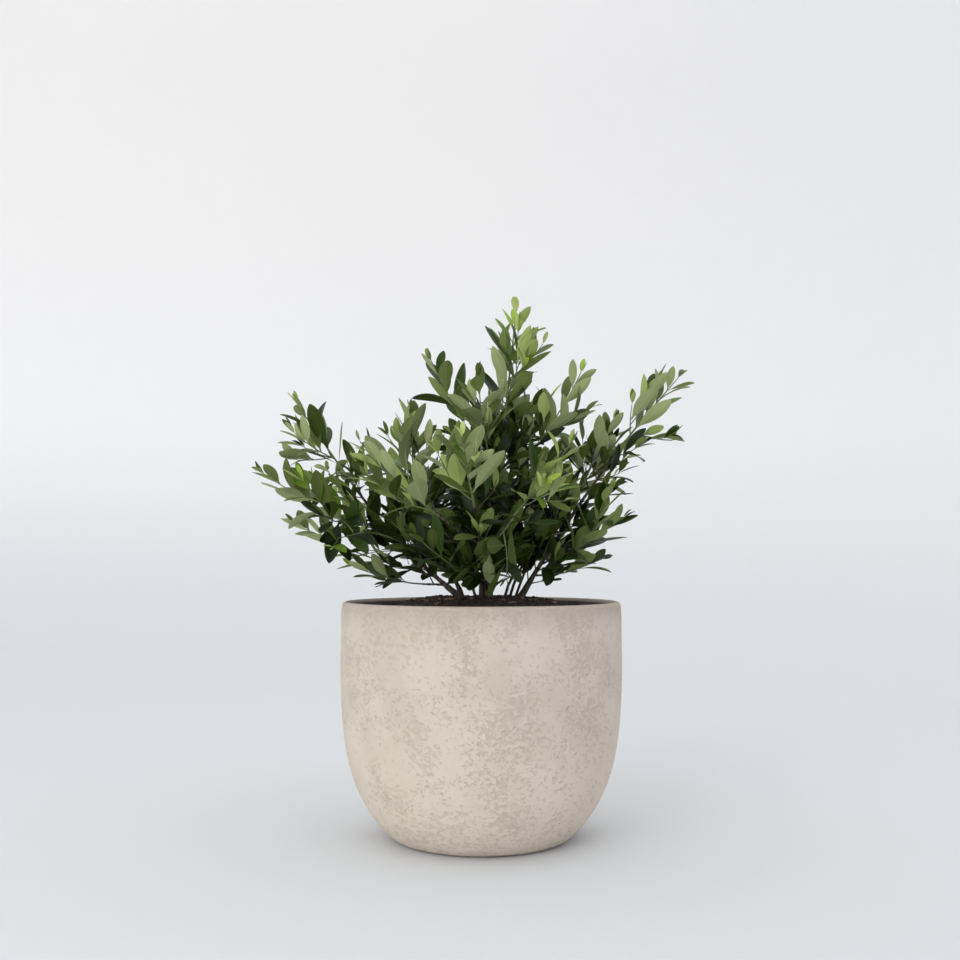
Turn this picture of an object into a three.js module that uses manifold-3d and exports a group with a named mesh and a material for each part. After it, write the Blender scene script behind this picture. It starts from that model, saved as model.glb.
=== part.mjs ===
// A young olive shrub in a round cement pot. Millimetres, +Z up; the origin is the middle of the
// pot's flat underside. Bearings are degrees about the pot's axis, 0 along +X and 90 along +Y.
import * as THREE from "three";
import { mergeVertices } from "three/addons/utils/BufferGeometryUtils.js";
import Module from "manifold-3d";

const wasm = await Module();
wasm.setup();

// ---------------------------------------------------------------- driving dimensions

const gap = 0.4; // between pieces that touch on the real plant

// The pot: a thrown cement bowl with a small flat foot and a soft lip.
const potRadius = 150;
const potHeight = 247;
const potWall = 8.5;
const potFloor = 14; // thickness of the bottom
const footRadius = 92.2; // of the outer curve where it meets the foot
const footRecess = 2; // height of the little step under the pot
const footInset = 5; // how far the flat underside stands in from the curve
const bellyHeight = 232; // above this the wall is upright
const bellyBend = 4.16; // exponents of the belly's curve
const bellyTuck = 1.114;
const lipDraw = 1.5; // how far the lip is drawn in from the widest radius
const lipRound = 4.2; // radius of the lip's rounded edge

// The soil: level round the stems, and falling away to the wall.
const soilTop = 251;
const soilEdge = 228;
const moundRadius = 56;
const facetSlack = 1;

// How finely the two rounds are cut.
const potSides = 32;
const soilSides = 22;

// Limbs, by radius.
const stemFootRadius = 3.7;
const stemTipRadius = 1.9;
const rootFlare = 2.4; // how much wider a stem is where it leaves the soil
const flareHeight = 14; // how far up the flare dies away
const boughFootRadius = 2.3;
const boughTipRadius = 1.4;
const boughSag = -6; // of a bough's middle, below the straight

// Masses of leaves.
const massSides = 8;
const massRings = 6;
const lumpDepth = 0.16; // unevenness, as a share of the mass's thickness
const pinch = 0.24; // thickness at a mass's two ends, as a share of its girth

// Where each stem leaves the soil.
const stemFeet = {
  left: { bearing: 165, out: 20 },
  middle: { bearing: 0, out: 6 },
  right: { bearing: 352, out: 41 },
  front: { bearing: 290, out: 24 },
  back: { bearing: 75, out: 30 },
};

// The sprays that the stems themselves end in: the tip by bearing, reach from the axis and height,
// and the length and girth of the leaves. arch lifts the middle of the stem, or lets it sag.
const leaders = [
  { name: "crown_top", stem: "middle", tip: [8, 40, 572], length: 132, girth: 84, arch: 6 },
  { name: "left_high", stem: "left", tip: [176, 206, 470], length: 108, girth: 80, arch: -22 },
  { name: "right_high", stem: "right", tip: [2, 222, 495], length: 98, girth: 58, arch: 14 },
  { name: "front_middle", stem: "front", tip: [264, 188, 408], length: 100, girth: 82, arch: 8 },
  { name: "back_middle", stem: "back", tip: [94, 190, 424], length: 104, girth: 84, arch: 8 },
];

// The sprays on boughs: fork is how far up its stem's line the bough leaves it.
const branches = [
  { name: "upper_left", stem: "middle", fork: 0.4, tip: [197, 58, 512], length: 100, girth: 62 },
  { name: "upper_right", stem: "middle", fork: 0.3, tip: [351, 110, 499], length: 104, girth: 76 },
  { name: "upper_back", stem: "middle", fork: 0.36, tip: [74, 98, 505], length: 104, girth: 82 },
  { name: "upper_front", stem: "middle", fork: 0.33, tip: [266, 80, 484], length: 98, girth: 78 },
  { name: "left_inner", stem: "left", fork: 0.22, tip: [172, 80, 462], length: 94, girth: 78 },
  { name: "left_middle", stem: "left", fork: 0.3, tip: [184, 240, 387], length: 124, girth: 72 },
  { name: "left_low", stem: "left", fork: 0.14, tip: [173, 214, 336], length: 132, girth: 50 },
  { name: "left_foot", stem: "left", fork: 0.09, tip: [200, 146, 286], length: 88, girth: 34 },
  { name: "right_shoulder", stem: "right", fork: 0.24, tip: [10, 148, 452], length: 100, girth: 78 },
  { name: "right_low", stem: "right", fork: 0.15, tip: [353, 156, 340], length: 84, girth: 52 },
  { name: "right_foot", stem: "right", fork: 0.1, tip: [12, 140, 295], length: 68, girth: 36 },
  { name: "front_left", stem: "front", fork: 0.34, tip: [233, 186, 396], length: 104, girth: 82 },
  { name: "front_right", stem: "front", fork: 0.3, tip: [297, 184, 406], length: 104, girth: 84 },
  { name: "front_low", stem: "front", fork: 0.12, tip: [248, 172, 316], length: 88, girth: 54 },
  { name: "back_left", stem: "back", fork: 0.34, tip: [132, 192, 412], length: 104, girth: 86 },
  { name: "back_right", stem: "back", fork: 0.3, tip: [56, 190, 424], length: 104, girth: 86 },
  { name: "back_low", stem: "back", fork: 0.12, tip: [112, 176, 318], length: 90, girth: 56 },
];

// The sprays that part from the end of another spray's limb, with leaves all the way from there.
const siblings = [
  { name: "left_shoulder", beside: "left_inner", tip: [190, 134, 420], girth: 56 },
  { name: "left_front", beside: "left_low", tip: [211, 192, 346], girth: 60 },
  { name: "left_back", beside: "left_middle", tip: [156, 196, 400], girth: 70 },
  { name: "right_middle", beside: "right_high", tip: [356, 216, 422], girth: 40 },
  { name: "right_front", beside: "right_low", tip: [324, 162, 366], girth: 62 },
  { name: "right_back", beside: "right_shoulder", tip: [31, 182, 392], girth: 66 },
  { name: "front_low_right", beside: "front_low", tip: [286, 170, 312], girth: 54 },
  { name: "back_low_right", beside: "back_low", tip: [68, 174, 322], girth: 56 },
];

// The thick of the crown, round the stems: upright masses that stand on no bough of their own.
const hearts = [
  { name: "heart_left", bearing: 172, out: 70, bottom: 296, top: 402, girth: 78 },
  { name: "heart_right", bearing: 8, out: 84, bottom: 302, top: 410, girth: 76 },
  { name: "heart_front", bearing: 262, out: 58, bottom: 290, top: 396, girth: 80 },
  { name: "heart_back", bearing: 84, out: 72, bottom: 298, top: 412, girth: 82 },
];

const paint = {
  cement: { color: 0xd3c8bb, roughness: 0.9, metalness: 0 },
  soil: { color: 0x3a2f27, roughness: 1, metalness: 0 },
  bark: { color: 0x5f5242, roughness: 0.9, metalness: 0 },
  leaves: { color: 0x5d7247, roughness: 0.65, metalness: 0 },
};

// ---------------------------------------------------------------- points, curves and solids

const up = new THREE.Vector3(0, 0, 1);

function polar(bearing, out, height) {
  const angle = THREE.MathUtils.degToRad(bearing);
  return new THREE.Vector3(out * Math.cos(angle), out * Math.sin(angle), height);
}

// A limb's line from one point to another: it leaves the straight by arch at its middle.
function limbLine(from, to, arch) {
  const middle = from.clone().lerp(to, 0.5).addScaledVector(up, 2 * arch);
  return new THREE.QuadraticBezierCurve3(from, middle, to);
}

// A number between -1 and 1 that depends on nothing but its seed.
function unevenness(seed) {
  const wave = Math.sin(seed * 12.9898 + 4.1414) * 43758.5453;
  return 2 * (wave - Math.floor(wave)) - 1;
}

// A round body of the given radii, set along the part of a line between two shares of its length.
// widen(turn, share) may make it uneven.
function alongLine(line, start, end, radii, sides, widen = () => 1) {
  const steps = radii.length - 1;
  const profile = radii.map((radius, i) => new THREE.Vector2(radius, i / steps));
  profile.unshift(new THREE.Vector2(0, 0));
  profile.push(new THREE.Vector2(0, 1));
  const body = new THREE.LatheGeometry(profile, sides);
  const place = body.getAttribute("position");
  const point = new THREE.Vector3();
  for (let i = 0; i < place.count; i++) {
    point.fromBufferAttribute(place, i);
    const share = point.y;
    const turn = Math.atan2(point.z, point.x);
    const radius = Math.hypot(point.x, point.z) * widen(turn, share);
    const at = start + (end - start) * share;
    const ahead = line.getTangentAt(at);
    const side = new THREE.Vector3().crossVectors(ahead, sideways(ahead)).normalize();
    const other = new THREE.Vector3().crossVectors(side, ahead);
    point.copy(line.getPointAt(at));
    point.addScaledVector(side, radius * Math.cos(turn));
    point.addScaledVector(other, radius * Math.sin(turn));
    place.setXYZ(i, point.x, point.y, point.z);
  }
  return body;
}

// Any direction square enough to the one given, the same for all of one limb.
function sideways(ahead) {
  return Math.abs(ahead.z) > 0.95 ? new THREE.Vector3(1, 0, 0) : up;
}

// A geometry as a solid that can be cut.
function solid(geometry) {
  const bare = new THREE.BufferGeometry();
  const from = geometry.index ? geometry.toNonIndexed() : geometry;
  bare.setAttribute("position", from.getAttribute("position"));
  const merged = mergeVertices(bare, 1e-3);
  const corners = Array.from(merged.index.array);
  const kept = [];
  for (let i = 0; i < corners.length; i += 3) {
    const corner = corners.slice(i, i + 3);
    if (new Set(corner).size === 3) kept.push(...corner);
  }
  return new wasm.Manifold(
    new wasm.Mesh({
      numProp: 3,
      vertProperties: new Float32Array(merged.getAttribute("position").array),
      triVerts: new Uint32Array(kept),
    }),
  );
}

// The largest body of a solid, as a geometry.
function largest(shape) {
  const bodies = shape.decompose();
  bodies.sort((a, b) => b.volume() - a.volume());
  const mesh = bodies[0].getMesh();
  const geometry = new THREE.BufferGeometry();
  geometry.setAttribute("position", new THREE.BufferAttribute(mesh.vertProperties, 3));
  geometry.setIndex(new THREE.BufferAttribute(mesh.triVerts, 1));
  geometry.computeVertexNormals();
  return geometry;
}

function touching(a, b) {
  const one = a.boundingBox();
  const two = b.boundingBox();
  return [0, 1, 2].every((k) => one.min[k] < two.max[k] && two.min[k] < one.max[k]);
}

// Cuts a shape clear of those that are already there.
function clearOf(shape, others) {
  return others.filter((o) => touching(shape, o)).reduce((rest, o) => rest.subtract(o), shape);
}

function piece(name, geometry, finish) {
  const mesh = new THREE.Mesh(geometry, new THREE.MeshStandardMaterial(finish));
  mesh.name = name;
  return mesh;
}

// ---------------------------------------------------------------- pot and soil

// The outside of the pot: out from the foot, round the belly and upright above it.
function outsideRadius(height) {
  const share = Math.min(height / bellyHeight, 1);
  const bend = (1 - (1 - share) ** bellyBend) ** (1 / bellyTuck);
  return footRadius + (potRadius - footRadius) * bend;
}

function insideRadius(height) {
  return outsideRadius(height) - potWall;
}

// Heights that crowd together towards the bottom, where the wall turns fastest.
function wallHeights(bottom, top, steps) {
  return Array.from({ length: steps + 1 }, (_, i) => bottom + (top - bottom) * (i / steps) ** 1.6);
}

function upright(profile, segments) {
  return new THREE.LatheGeometry(profile, segments).rotateX(Math.PI / 2);
}

function pot() {
  const lipRadius = potRadius - lipDraw - lipRound;
  const profile = [new THREE.Vector2(0, 0), new THREE.Vector2(footRadius - footInset, 0)];
  profile.push(new THREE.Vector2(footRadius - footInset, footRecess));
  for (const height of wallHeights(footRecess, potHeight - 2 * lipRound, 9)) {
    profile.push(new THREE.Vector2(outsideRadius(height), height));
  }
  for (const angle of [0, 45, 90, 135, 180]) {
    const turn = THREE.MathUtils.degToRad(angle);
    profile.push(
      new THREE.Vector2(
        lipRadius + lipRound * Math.cos(turn),
        potHeight - lipRound + lipRound * Math.sin(turn),
      ),
    );
  }
  for (const height of wallHeights(potFloor, potHeight - 3 * lipRound, 5).reverse()) {
    profile.push(new THREE.Vector2(insideRadius(height), height));
  }
  profile.push(new THREE.Vector2(0, potFloor));
  return piece("pot", largest(solid(upright(profile, potSides))), paint.cement);
}

// The soil stands a little in from the wall, so that the two faceted rounds stay apart.
function soilRadius(height) {
  return insideRadius(height) - facetSlack - gap;
}

function soil() {
  const profile = [new THREE.Vector2(0, potFloor + gap)];
  for (const height of wallHeights(potFloor + gap, soilEdge, 5)) {
    profile.push(new THREE.Vector2(soilRadius(height), height));
  }
  const edge = soilRadius(soilEdge);
  for (const share of [0.25, 0.5, 0.75, 1]) {
    const rise = (1 - Math.cos(Math.PI * share)) / 2;
    profile.push(
      new THREE.Vector2(edge + (moundRadius - edge) * share, soilEdge + (soilTop - soilEdge) * rise),
    );
  }
  profile.push(new THREE.Vector2(0, soilTop));
  return piece("soil", largest(solid(upright(profile, soilSides))), paint.soil);
}

// ---------------------------------------------------------------- limbs

// Radii from a limb's foot to its end, a little fuller than a straight taper.
function taper(foot, end, steps) {
  return Array.from({ length: steps + 1 }, (_, i) => foot + (end - foot) * (i / steps) ** 0.8);
}

function tipOf(spray) {
  return polar(...spray.tip);
}

function stemSolid(line, end, skin) {
  const steps = 6;
  const length = line.getLength() * end;
  const radii = taper(stemFootRadius, stemTipRadius, steps).map(
    (radius, i) => radius + skin + rootFlare * Math.exp((-i / steps) * (length / flareHeight)),
  );
  return solid(alongLine(line, 0, end, radii, 6)).trimByPlane([0, 0, 1], soilTop + gap - skin);
}

function boughSolid(line, end, skin) {
  const radii = taper(boughFootRadius, boughTipRadius, 3).map((radius) => radius + skin);
  return solid(alongLine(line, 0, end, radii, 5));
}

// ---------------------------------------------------------------- masses of leaves

// The thickness of a mass along its length: pinched at its two ends, fullest before the middle.
function fullness(share) {
  return pinch + (1 - pinch) * Math.sin(Math.PI * share ** 0.85) ** 0.8;
}

function massSolid(line, start, girth, seed, skin) {
  const rings = Array.from({ length: massRings + 1 }, (_, i) => i / massRings);
  const radii = rings.map((share) => (girth / 2) * fullness(share) + skin);
  const widen = (turn, share) => {
    const side = Math.round((turn / (2 * Math.PI)) * massSides + massSides) % massSides;
    return 1 + lumpDepth * unevenness(seed * 131 + side * 17 + Math.round(share * massRings) * 7);
  };
  return solid(alongLine(line, start, 1, radii, massSides, widen));
}

// ---------------------------------------------------------------- the whole plant

// Grows the limbs first and then the masses, each cut clear of what is there already.
class Plant {
  constructor() {
    this.pieces = [];
    this.there = [];
    this.sprays = [];
    leaders.forEach((spray) => this.growStem(spray));
    branches.forEach((spray) => this.growBough(spray));
    siblings.forEach((spray) => this.growSibling(spray));
    hearts.forEach((heart) => this.growHeart(heart));
    this.sprays.forEach((spray, i) => this.growMass(spray, i + 1));
  }

  // build(skin) makes the solid, or the larger one that later pieces are cut by.
  add(name, finish, build) {
    this.pieces.push(piece(name, largest(clearOf(build(0), this.there)), finish));
    this.there.push(build(gap));
  }

  // Keeps a spray's line and the share of it at which its leaves begin, and gives the limb's end.
  keep(spray, line) {
    const start = spray.length ? 1 - spray.length / line.getLength() : 0;
    this.sprays.push({ ...spray, line, start });
    return start - gap / line.getLength();
  }

  growStem(spray) {
    const foot = stemFeet[spray.stem];
    const from = polar(foot.bearing, foot.out, soilTop - rootFlare);
    const line = limbLine(from, tipOf(spray), spray.arch);
    const end = this.keep(spray, line);
    this.add("stem_" + spray.stem, paint.bark, (skin) => stemSolid(line, end, skin));
  }

  growBough(spray) {
    const stem = this.sprays.find((s) => s.stem === spray.stem);
    const line = limbLine(stem.line.getPointAt(spray.fork), tipOf(spray), boughSag);
    const end = this.keep(spray, line);
    this.add("bough_" + spray.name, paint.bark, (skin) => boughSolid(line, end, skin));
  }

  growSibling(spray) {
    const other = this.sprays.find((s) => s.name === spray.beside);
    this.keep(spray, limbLine(other.line.getPointAt(other.start), tipOf(spray), boughSag));
  }

  growHeart(heart) {
    const foot = polar(heart.bearing, heart.out, heart.bottom);
    this.keep(heart, limbLine(foot, polar(heart.bearing, heart.out, heart.top), 0));
  }

  growMass(spray, seed) {
    const build = (skin) => massSolid(spray.line, spray.start, spray.girth, seed, skin);
    this.add("leaves_" + spray.name, paint.leaves, build);
  }
}

const group = new THREE.Group();
group.add(pot(), soil(), ...new Plant().pieces);

export default group;
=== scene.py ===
"""A young olive shrub with several stems in a round cement pot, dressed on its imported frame."""

import logging
import math
import random
from dataclasses import dataclass, field
from enum import Enum
from typing import Any, Callable

import bpy
import numpy as np
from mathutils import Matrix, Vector, noise
from mathutils.bvhtree import BVHTree


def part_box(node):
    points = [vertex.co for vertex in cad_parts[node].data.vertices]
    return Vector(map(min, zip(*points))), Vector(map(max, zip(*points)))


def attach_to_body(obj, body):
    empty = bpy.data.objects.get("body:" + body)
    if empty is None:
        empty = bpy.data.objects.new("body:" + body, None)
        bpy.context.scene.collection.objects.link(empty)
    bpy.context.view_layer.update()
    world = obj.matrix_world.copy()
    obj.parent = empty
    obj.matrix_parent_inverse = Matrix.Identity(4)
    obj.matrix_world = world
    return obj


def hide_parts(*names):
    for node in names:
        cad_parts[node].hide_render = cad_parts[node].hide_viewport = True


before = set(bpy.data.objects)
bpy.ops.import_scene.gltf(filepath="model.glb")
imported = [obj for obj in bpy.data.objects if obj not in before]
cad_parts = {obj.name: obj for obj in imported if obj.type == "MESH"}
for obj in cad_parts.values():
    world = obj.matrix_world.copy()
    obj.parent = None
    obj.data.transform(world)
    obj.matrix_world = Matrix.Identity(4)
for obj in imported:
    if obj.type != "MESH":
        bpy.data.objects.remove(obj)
log = logging.getLogger("olive")

MM = 0.001
SEED = 41
BODY = "root"
WEAR = "wear"

Paint = tuple[int, int, int]
Span = tuple[float, float]


# ------------------------------------------------------------------ colour and shader maths


def paint(red: int, green: int, blue: int) -> tuple[float, float, float, float]:
    """Turns a colour as seen on a screen, 0 to 255, into the linear one that a shader takes."""
    def linear(value: int) -> float:
        """Returns one channel in linear light."""
        share = value / 255
        return share / 12.92 if share <= 0.04045 else ((share + 0.055) / 1.055) ** 2.4
    return (linear(red), linear(green), linear(blue), 1.0)


def attach(tree: bpy.types.NodeTree, socket: bpy.types.NodeSocket, value: Any) -> None:
    """Links a wire to an input socket, or sets the socket to a constant."""
    if isinstance(value, Wire):
        tree.links.new(value.socket, socket)
    else:
        socket.default_value = value


def operator(operation: str, turned: bool = False) -> Callable[["Wire", Any], "Wire"]:
    """Makes an arithmetic operator for wires.

    Args:
        operation: the Math node's operation.
        turned: whether the wire is the second of the two values.
    """
    def apply(wire: "Wire", other: Any) -> "Wire":
        """Adds the Math node."""
        return wire.maths(operation, other, wire) if turned else wire.maths(operation, wire, other)
    return apply


class Wire:
    """A shader socket that arithmetic can be written on."""

    def __init__(self, tree: bpy.types.NodeTree, socket: bpy.types.NodeSocket) -> None:
        """Keeps the node tree and the output socket."""
        self.tree = tree
        self.socket = socket

    def maths(self, operation: str, *values: Any) -> "Wire":
        """Adds a Math node.

        Args:
            operation: the node's operation.
            values: its inputs in order, wires or numbers.

        Returns:
            The node's output.
        """
        node = self.tree.nodes.new("ShaderNodeMath")
        node.operation = operation
        for place, value in enumerate(values):
            attach(self.tree, node.inputs[place], value)
        return Wire(self.tree, node.outputs[0])

    __add__, __radd__ = operator("ADD"), operator("ADD", turned=True)
    __sub__, __rsub__ = operator("SUBTRACT"), operator("SUBTRACT", turned=True)
    __mul__, __rmul__ = operator("MULTIPLY"), operator("MULTIPLY", turned=True)
    larger = operator("MAXIMUM")

    def step(self, low: float, high: float) -> "Wire":
        """Rises smoothly from 0 at low to 1 at high."""
        node = self.tree.nodes.new("ShaderNodeMapRange")
        node.interpolation_type = "SMOOTHSTEP"
        self.tree.links.new(self.socket, node.inputs["Value"])
        node.inputs["From Min"].default_value = low
        node.inputs["From Max"].default_value = high
        return Wire(self.tree, node.outputs["Result"])


@dataclass(frozen=True)
class Grain:
    """A noise pattern.

    Args:
        size: the width of one blotch, in metres.
        detail: how many finer layers lie on it.
        rough: how strong those are.
        stretch: how the pattern is squeezed along each axis.
        bend: how far the noise distorts itself.
    """

    size: float
    detail: float = 3.0
    rough: float = 0.5
    stretch: tuple[float, float, float] = (1, 1, 1)
    bend: float = 0.0


class Material:
    """A material with its Principled shader, and short ways to add nodes to it."""

    def __init__(self, name: str) -> None:
        """Makes the material and finds its shader."""
        self.made = bpy.data.materials.new(name)
        self.made.use_nodes = True
        self.tree = self.made.node_tree
        self.shader = self.tree.nodes["Principled BSDF"]

    def node(self, kind: str, output: str | int = 0, settings: dict[str, Any] | None = None,
             **inputs: Any) -> Wire:
        """Adds any node.

        Args:
            kind: the node's type.
            output: the name or place of the output that is wanted.
            settings: properties of the node, set before its inputs.
            inputs: values or wires by the input's name, with _ for a space.

        Returns:
            The wanted output.
        """
        node = self.tree.nodes.new(kind)
        for key, value in (settings or {}).items():
            setattr(node, key, value)
        for key, value in inputs.items():
            attach(self.tree, node.inputs[key.replace("_", " ")], value)
        return Wire(self.tree, node.outputs[output])

    def place(self, stretch: tuple[float, float, float] = (1, 1, 1)) -> Wire:
        """Gives the object's own coordinates, scaled along each axis."""
        place = self.node("ShaderNodeTexCoord", "Object")
        return self.node("ShaderNodeMapping", Vector=place, Scale=stretch)

    def grain(self, grain: Grain) -> Wire:
        """Gives a noise from 0 to 1."""
        return self.node("ShaderNodeTexNoise", "Fac", Vector=self.place(grain.stretch), Scale=1 / grain.size,
                         Detail=grain.detail, Roughness=grain.rough, Distortion=grain.bend)

    def height(self) -> Wire:
        """Gives the height above the floor."""
        return self.node("ShaderNodeSeparateXYZ", "Z", Vector=self.place())

    def mix(self, share: Any, first: Any, second: Any) -> Wire:
        """Mixes two colours by a share."""
        node = self.tree.nodes.new("ShaderNodeMix")
        node.data_type = "RGBA"
        sockets = [s for s in node.inputs if s.type == "RGBA"]
        for socket, value in ((node.inputs[0], share), (sockets[0], first), (sockets[1], second)):
            attach(self.tree, socket, value)
        return Wire(self.tree, next(s for s in node.outputs if s.type == "RGBA"))

    def set(self, **inputs: Any) -> None:
        """Sets or links inputs of the shader, by name with _ for a space."""
        for key, value in inputs.items():
            attach(self.tree, self.shader.inputs[key.replace("_", " ")], value)

    def bump(self, height: Wire, depth: float) -> None:
        """Links a height to the shader's normal.

        Args:
            height: the relief, 0 to 1.
            depth: what 1 stands for, in metres.
        """
        self.set(Normal=self.node("ShaderNodeBump", "Normal", Height=height, Strength=1.0, Distance=depth))


# ------------------------------------------------------------------ finishes


class Tone(Enum):
    """The age of a leaf, which sets its colours; the darkest tone is no age but painted shade, a darker copy
    of the mature leaf for leaves in the heart of the crown and low under it.
    """

    DEEP = "deep"
    MATURE = "mature"
    SAGE = "sage"
    FRESH = "fresh"
    YOUNG = "young"


@dataclass(frozen=True)
class LeafFinish:
    """The colours of one tone of leaf: its two faces and its midrib."""

    upper: Paint
    under: Paint
    rib: Paint
    rough: float
    rough_under: float = 0.7
    rough_rib: float = 0.6
    sheen: float = 0.2
    dull: float = 0.1

    def build(self, tone: Tone) -> list[bpy.types.Material]:
        """Makes the materials of the upper face, the underside and the midrib, in that order."""
        made = []
        sides = (("upper", self.upper, self.rough, self.sheen),
                 ("under", self.under, self.rough_under, self.dull),
                 ("rib", self.rib, self.rough_rib, self.dull))
        for side, colour, rough, sheen in sides:
            material = Material(f"leaf_{tone.value}_{side}")
            material.set(Base_Color=paint(*colour), Roughness=rough, Specular_IOR_Level=sheen)
            made.append(material.made)
        return made


LEAF_FINISHES = {
    # painted shade: the darkest tone, dark on both faces, stands in for the shade inside and under the crown
    Tone.DEEP: LeafFinish(upper=(22, 37, 4), under=(74, 88, 38), rib=(82, 96, 44), rough=0.34),
    Tone.MATURE: LeafFinish(upper=(45, 68, 14), under=(128, 144, 82), rib=(138, 153, 90), rough=0.36),
    Tone.SAGE: LeafFinish(upper=(91, 103, 51), under=(160, 170, 120), rib=(170, 180, 128), rough=0.42),
    Tone.FRESH: LeafFinish(upper=(92, 122, 30), under=(162, 180, 106), rib=(174, 190, 114), rough=0.42),
    Tone.YOUNG: LeafFinish(upper=(154, 180, 74), under=(190, 204, 128), rib=(196, 208, 134), rough=0.46),
}


@dataclass(frozen=True)
class TwigFinish:
    """A plain skin of young wood or of what lies on the soil."""

    name: str
    colour: Paint
    rough: float = 0.7

    def build(self) -> bpy.types.Material:
        """Makes the material."""
        material = Material(self.name)
        material.set(Base_Color=paint(*self.colour), Roughness=self.rough)
        return material.made


GREEN_TWIG = TwigFinish("green_twig", (104, 116, 74))
WOODY_TWIG = TwigFinish("woody_twig", (66, 62, 48))
CRUMB = TwigFinish("crumb", (46, 36, 30))
BARK_CHIP = TwigFinish("bark_chip", (112, 88, 68))


@dataclass(frozen=True)
class BarkFinish:
    """Thin grey-brown bark, with paler streaks and a fine roughness."""

    dark: Paint = (52, 46, 38)
    pale: Paint = (104, 98, 80)
    streaks: Grain = Grain(4 * MM, 4, 0.6, stretch=(1, 1, 0.3))
    specks: Grain = Grain(1.2 * MM, 2, 0.5)
    rough: float = 0.85
    relief: float = 0.8 * MM

    def build(self) -> bpy.types.Material:
        """Makes the material."""
        material = Material("bark")
        streaks, specks = material.grain(self.streaks), material.grain(self.specks)
        colour = material.mix(streaks.step(0.42, 0.64), paint(*self.dark), paint(*self.pale))
        material.set(Base_Color=colour, Roughness=self.rough)
        material.bump(streaks * 0.6 + specks * 0.4, self.relief)
        return material.made


@dataclass(frozen=True)
class CementFinish:
    """Warm, matt cement with shallow flaked scars that crowd in places, streaked under the rim, and painted
    lighter towards the foot as painted light thrown up from the floor.
    """

    skin: Paint = (211, 200, 187)
    blush: Paint = (204, 190, 177)
    # painted light: the lighter colour towards the foot stands in for light thrown up from the floor
    foot: Paint = (229, 215, 200)
    scar: Paint = (178, 164, 150)
    grit: Paint = (232, 223, 211)
    brim: Paint = (176, 166, 154)
    crowd: Grain = Grain(46 * MM, 3, 0.6)
    flakes: Grain = Grain(4.2 * MM, 3, 0.58, stretch=(1, 1, 1.3), bend=0.8)
    pits: Grain = Grain(1.8 * MM, 2, 0.5)
    streaks: Grain = Grain(6 * MM, 3, 0.6, stretch=(1, 1, 0.3))
    scuffs: Grain = Grain(5 * MM, 3, 0.6, stretch=(0.5, 0.5, 2.2))
    clouds: Grain = Grain(60 * MM, 4, 0.6)
    fading: Grain = Grain(9 * MM, 2, 0.5)
    rough: float = 0.92
    sheen: float = 0.2
    relief: float = 0.42 * MM

    def build(self) -> bpy.types.Material:
        """Makes the material."""
        material = Material("cement")
        height = material.height()
        pits = material.grain(self.pits) - 0.5
        crowd = material.grain(self.crowd) - 0.5
        scars = self.scars(material, height, crowd, pits)
        clouds = material.grain(self.clouds).step(0.38, 0.66)
        upper = material.mix(clouds, paint(*self.skin), paint(*self.blush))
        upper = material.mix(height.step(0.215, 0.245) * 0.5, upper, paint(*self.brim))
        # painted light: the skin turns lighter towards the foot, as if lit from the bright floor below
        body = material.mix((1 - height.step(0.02, 0.17)) * 0.8, upper, paint(*self.foot))
        specks = (pits + crowd * 0.3).step(0.12, 0.2)
        gritty = material.mix(specks * 0.4, body, paint(*self.grit))
        faded = material.grain(self.fading).step(0.3, 0.66) * 0.26 + 0.2
        material.set(Base_Color=material.mix(scars * faded, gritty, paint(*self.scar)))
        material.set(Roughness=self.rough, Specular_IOR_Level=self.sheen)
        material.bump((1 - scars) * 0.75 + (pits + 0.5) * 0.25, self.relief)
        return material.made

    def scars(self, material: Material, height: Wire, crowd: Wire, pits: Wire) -> Wire:
        """Gives where the skin has flaked off.

        Args:
            material: the material.
            height: the height above the floor.
            crowd: where the flakes crowd together, about 0.
            pits: the finest roughness, about 0.
        """
        under_rim = height.step(0.16, 0.25)
        on_foot = 1 - height.step(0.02, 0.12)
        flakes = material.grain(self.flakes) - 0.5
        streaks = material.grain(self.streaks) - 0.5
        scuffs = material.grain(self.scuffs) - 0.5
        worn = crowd * 0.72 + flakes * 0.95 + pits * 0.35
        worn = worn + streaks * under_rim * 0.6 + scuffs * on_foot * 0.6
        worn = worn + height.step(0.232, 0.242) * 0.13
        flaked = material.node("ShaderNodeAttribute", "Fac", {"attribute_name": WEAR})
        frayed = (flaked + pits * 1.6).step(0.4, 0.75)
        return worn.step(0.09, 0.15).larger(frayed * 0.8)


@dataclass(frozen=True)
class LiningFinish:
    """The darker sealed inside of the pot."""

    colour: Paint = (78, 66, 62)
    stain: Paint = (52, 42, 38)
    stains: Grain = Grain(18 * MM, 4, 0.6, stretch=(1, 1, 2.5))
    rough: float = 0.38

    def build(self) -> bpy.types.Material:
        """Makes the material."""
        material = Material("lining")
        stains = material.grain(self.stains).step(0.4, 0.66)
        colour = material.mix(stains, paint(*self.colour), paint(*self.stain))
        material.set(Base_Color=colour, Roughness=self.rough)
        return material.made


@dataclass(frozen=True)
class SoilFinish:
    """Damp dark potting soil."""

    dark: Paint = (24, 18, 15)
    pale: Paint = (64, 50, 42)
    crumbs: Grain = Grain(3 * MM, 5, 0.65)
    rough: float = 0.95
    relief: float = 1.5 * MM

    def build(self) -> bpy.types.Material:
        """Makes the material."""
        material = Material("soil")
        crumbs = material.grain(self.crumbs)
        colour = material.mix(crumbs.step(0.4, 0.72), paint(*self.dark), paint(*self.pale))
        material.set(Base_Color=colour, Roughness=self.rough)
        material.bump(crumbs, self.relief)
        return material.made


# ------------------------------------------------------------------ modelling by hand


def nothing_selected() -> None:
    """Leaves edit mode and deselects every object."""
    if bpy.context.object and bpy.context.object.mode != "OBJECT":
        bpy.ops.object.mode_set(mode="OBJECT")
    bpy.ops.object.select_all(action="DESELECT")


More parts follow.
